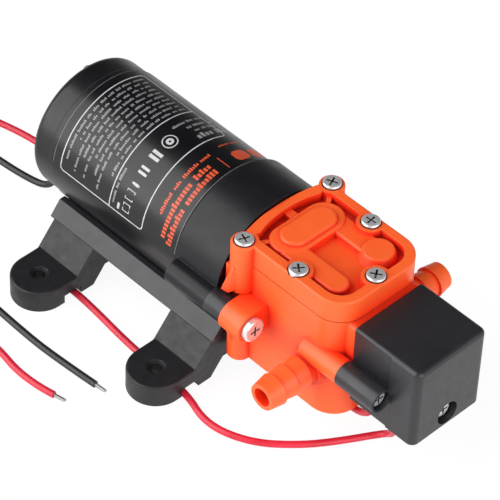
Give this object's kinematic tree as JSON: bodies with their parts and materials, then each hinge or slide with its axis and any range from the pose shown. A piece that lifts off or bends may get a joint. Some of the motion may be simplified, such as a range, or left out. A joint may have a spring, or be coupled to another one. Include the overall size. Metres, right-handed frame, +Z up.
{
  "type": "caravan water pump",
  "caption": "Twelve volt diaphragm water pump: round motor on rubber feet, orange pump head with a hose barb on each side, black pressure switch box, loose leads.",
  "frame": {"origin": "on the floor under the middle of the pump, leads left out", "axes": "+X along the motor towards the switch box, +Y towards the inlet barb, +Z up"},
  "size_m": [0.2509, 0.1232, 0.061],
  "materials": {
    "orange_plastic": "satin gloss moulding",
    "black_plastic": "satin moulding",
    "black_paint": "black enamel",
    "label_film": "printed film",
    "rubber_feet": "matt",
    "inner_plastic": "plain moulding",
    "soft_rubber": "matt",
    "bright_screws": "bright plate",
    "bearing_steel": "ground",
    "core_steel": "plain",
    "copper": "enamelled copper",
    "bronze": "plain",
    "carbon": "carbon",
    "red_insulation": "satin",
    "black_insulation": "satin",
    "tinned_copper": "tinned strands"
  },
  "bodies": {
    "pump": {"pump_body": "orange_plastic", "upper_cover": "orange_plastic", "lower_cover": "orange_plastic", "front_housing": "black_plastic", "flange_spacers": "black_plastic", "base_rail": "black_plastic", "switch_box": "black_plastic", "motor_can": "black_paint", "rear_end_cap": "black_paint", "label_sleeve": "label_film", "front_foot_bar": "rubber_feet", "rear_foot_bar": "rubber_feet", "upper_valve_plate": "inner_plastic", "lower_valve_plate": "inner_plastic", "switch_carrier": "inner_plastic", "microswitch_body": "inner_plastic", "brush_plate": "inner_plastic", "port_o_rings": "soft_rubber", "upper_diaphragm": "soft_rubber", "lower_diaphragm": "soft_rubber", "switch_diaphragm": "soft_rubber", "lead_grommets": "soft_rubber", "cover_screws": "bright_screws", "flange_screws": "bright_screws", "switch_box_screws": "bright_screws", "rail_screws": "bright_screws", "through_bolts": "bright_screws", "front_bearing_outer_race": "bearing_steel", "plunger_spring": "bearing_steel", "brush_springs": "bearing_steel", "magnets": "core_steel", "rear_bearing_bush": "bronze", "brush_tubes": "bronze", "motor_terminals": "bronze", "switch_terminals": "bronze", "brushes": "carbon", "red_lead": "red_insulation", "link_wire": "red_insulation", "black_lead": "black_insulation", "lead_tips": "tinned_copper"},
    "rotor": {"motor_shaft": "bearing_steel", "armature_core": "core_steel", "armature_windings": "copper", "commutator": "copper", "eccentric_hub": "bearing_steel", "eccentric_set_screw": "bearing_steel", "eccentric_bearing_inner_race": "bearing_steel", "front_bearing_inner_race": "bearing_steel"},
    "yoke": {"drive_yoke": "inner_plastic", "eccentric_bearing_outer_race": "bearing_steel", "diaphragm_discs": "bearing_steel", "diaphragm_screws": "bright_screws"},
    "eccentric_balls": {"eccentric_bearing_balls": "bearing_steel"},
    "shaft_balls": {"front_bearing_balls": "bearing_steel"},
    "inlet_valve_top": {"upper_inlet_valve": "soft_rubber"},
    "outlet_valve_top": {"upper_outlet_valve": "soft_rubber"},
    "inlet_valve_bottom": {"lower_inlet_valve": "soft_rubber"},
    "outlet_valve_bottom": {"lower_outlet_valve": "soft_rubber"},
    "plunger": {"switch_plunger": "inner_plastic"},
    "button": {"microswitch_button": "inner_plastic"}
  },
  "joints": [
    {"name": "rotor_spin", "type": "hinge", "parent": "pump", "child": "rotor", "pos_m": [0, 0, 0.0354], "axis": [1, 0, 0], "continuous": true, "deforming": ["upper_diaphragm", "lower_diaphragm"]},
    {"name": "yoke_orbit", "type": "hinge", "parent": "rotor", "child": "yoke", "pos_m": [0.0215, 0, 0.0366], "axis": [1, 0, 0], "continuous": true},
    {"name": "eccentric_cage_spin", "type": "hinge", "parent": "rotor", "child": "eccentric_balls", "pos_m": [0.0215, 0, 0.0366], "axis": [1, 0, 0], "continuous": true},
    {"name": "shaft_cage_spin", "type": "hinge", "parent": "pump", "child": "shaft_balls", "pos_m": [-0.0009, 0, 0.0354], "axis": [1, 0, 0], "continuous": true},
    {"name": "inlet_valve_top_lift", "type": "slide", "parent": "pump", "child": "inlet_valve_top", "axis": [0, 0, -1], "range_m": [0, 0.0005], "stiffness_N_per_m": 20},
    {"name": "outlet_valve_top_lift", "type": "slide", "parent": "pump", "child": "outlet_valve_top", "axis": [0, 0, 1], "range_m": [0, 0.0005], "stiffness_N_per_m": 20},
    {"name": "inlet_valve_bottom_lift", "type": "slide", "parent": "pump", "child": "inlet_valve_bottom", "axis": [0, 0, 1], "range_m": [0, 0.0005], "stiffness_N_per_m": 20},
    {"name": "outlet_valve_bottom_lift", "type": "slide", "parent": "pump", "child": "outlet_valve_bottom", "axis": [0, 0, -1], "range_m": [0, 0.0005], "stiffness_N_per_m": 20},
    {"name": "plunger_travel", "type": "slide", "parent": "pump", "child": "plunger", "axis": [1, 0, 0], "range_m": [0, 0.001], "stiffness_N_per_m": 500, "deforming": ["plunger_spring", "switch_diaphragm"]},
    {"name": "button_travel", "type": "slide", "parent": "pump", "child": "button", "axis": [1, 0, 0], "range_m": [0, 0.001]}
  ],
  "couplings": [
    {"joint": "yoke_orbit", "follows": "rotor_spin", "ratio": -1},
    {"joint": "eccentric_cage_spin", "follows": "rotor_spin", "ratio": -0.61},
    {"joint": "shaft_cage_spin", "follows": "rotor_spin", "ratio": 0.31},
    {"joint": "button_travel", "follows": "plunger_travel", "ratio": 1}
  ]
}
